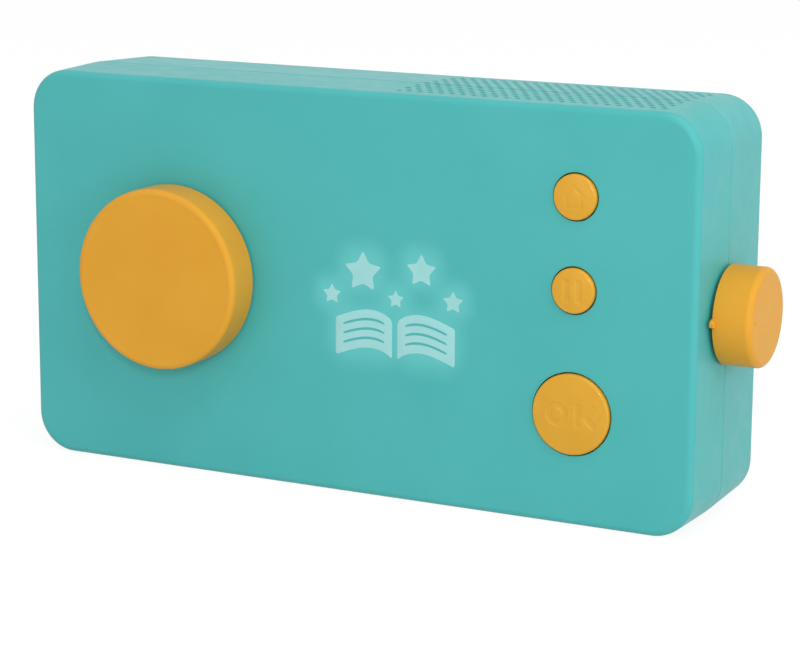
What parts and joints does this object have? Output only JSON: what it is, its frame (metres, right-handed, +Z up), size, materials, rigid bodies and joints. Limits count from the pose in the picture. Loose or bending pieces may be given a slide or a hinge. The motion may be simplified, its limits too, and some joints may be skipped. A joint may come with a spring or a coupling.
{
  "type": "audio story player",
  "caption": "Flat upright audio story player for children: rounded two-shell case, large selector knob, push buttons, side volume knob and a speaker grille in the top.",
  "frame": {"origin": "middle of the case's flat underside, halfway across its width and its depth", "axes": "+X to the right as seen from the front, towards the volume knob; +Y from the front face to the back; +Z up"},
  "size_m": [0.1635, 0.0452, 0.085],
  "materials": {
    "case_plastic": "satin moulded",
    "knob_plastic": "satin moulded",
    "button_plastic": "gloss moulded",
    "steel": "zinc plated",
    "nickel": "nickel plated",
    "circuit_board": "solder mask",
    "black_plastic": "moulded",
    "white_plastic": "moulded",
    "milky_plastic": "polished",
    "display_glass": "clear",
    "ribbon_film": "film",
    "speaker_paper": "pressed paper",
    "speaker_cloth": "woven",
    "foam": "open foam",
    "magnet_cup": "zinc plated",
    "cell_foil": "foil",
    "wire_red": "soft",
    "wire_black": "soft",
    "wire_grey": "soft",
    "lamp_white": "clear",
    "chip_black": "moulded",
    "phenolic": "pressed"
  },
  "bodies": {
    "case": {"front_shell": "case_plastic", "rear_shell": "case_plastic", "case_screws": "steel", "board_screws": "steel", "main_board": "circuit_board", "volume_board": "circuit_board", "battery_guard_board": "circuit_board", "selector_bushing": "nickel", "volume_bushing": "nickel", "selector_washer": "steel", "selector_nut": "steel", "selector_encoder": "black_plastic", "volume_pot": "nickel", "volume_wires": "wire_grey", "speaker_wires": "wire_black", "battery_wires": "wire_red", "volume_socket": "white_plastic", "volume_plug": "white_plastic", "speaker_socket": "white_plastic", "speaker_plug": "white_plastic", "battery_socket": "white_plastic", "battery_plug": "white_plastic", "grille_cloth_front": "speaker_cloth", "grille_cloth_rear": "speaker_cloth", "speaker_basket": "magnet_cup", "speaker_cone": "speaker_paper", "speaker_magnet": "magnet_cup", "speaker_terminals": "phenolic", "speaker_gasket": "foam", "display_panel": "display_glass", "light_guide": "milky_plastic", "display_holder": "white_plastic", "display_lights": "lamp_white", "display_ribbon": "ribbon_film", "ribbon_socket": "white_plastic", "usb_socket": "nickel", "usb_tongue": "black_plastic", "headphone_socket": "black_plastic", "battery_pack": "cell_foil", "battery_tape": "foam", "processor_chip": "chip_black", "memory_chip": "chip_black", "amplifier_chip": "chip_black", "board_capacitors": "cell_foil", "board_resistors": "chip_black", "home_switch": "black_plastic", "pause_switch": "black_plastic", "ok_switch": "black_plastic"},
    "selector": {"selector_knob": "knob_plastic", "selector_shaft": "black_plastic"},
    "volume": {"volume_knob": "knob_plastic", "volume_shaft": "black_plastic"},
    "home": {"home_button": "button_plastic", "home_plunger": "black_plastic"},
    "pause": {"pause_button": "button_plastic", "pause_plunger": "black_plastic"},
    "ok": {"ok_button": "button_plastic", "ok_plunger": "black_plastic"}
  },
  "joints": [
    {"name": "selector_turn", "type": "hinge", "parent": "case", "child": "selector", "pos_m": [-0.0407, -0.01825, 0.0429], "axis": [0, 1, 0], "continuous": true},
    {"name": "volume_turn", "type": "hinge", "parent": "case", "child": "volume", "pos_m": [0.0775, -0.0022, 0.0431], "axis": [-1, 0, 0], "range_deg": [-60, 240]},
    {"name": "home_press", "type": "slide", "parent": "case", "child": "home", "axis": [0, 1, 0], "range_m": [0, 0.0006], "stiffness_N_per_m": 1500},
    {"name": "pause_press", "type": "slide", "parent": "case", "child": "pause", "axis": [0, 1, 0], "range_m": [0, 0.0006], "stiffness_N_per_m": 1500},
    {"name": "ok_press", "type": "slide", "parent": "case", "child": "ok", "axis": [0, 1, 0], "range_m": [0, 0.0006], "stiffness_N_per_m": 1500}
  ]
}
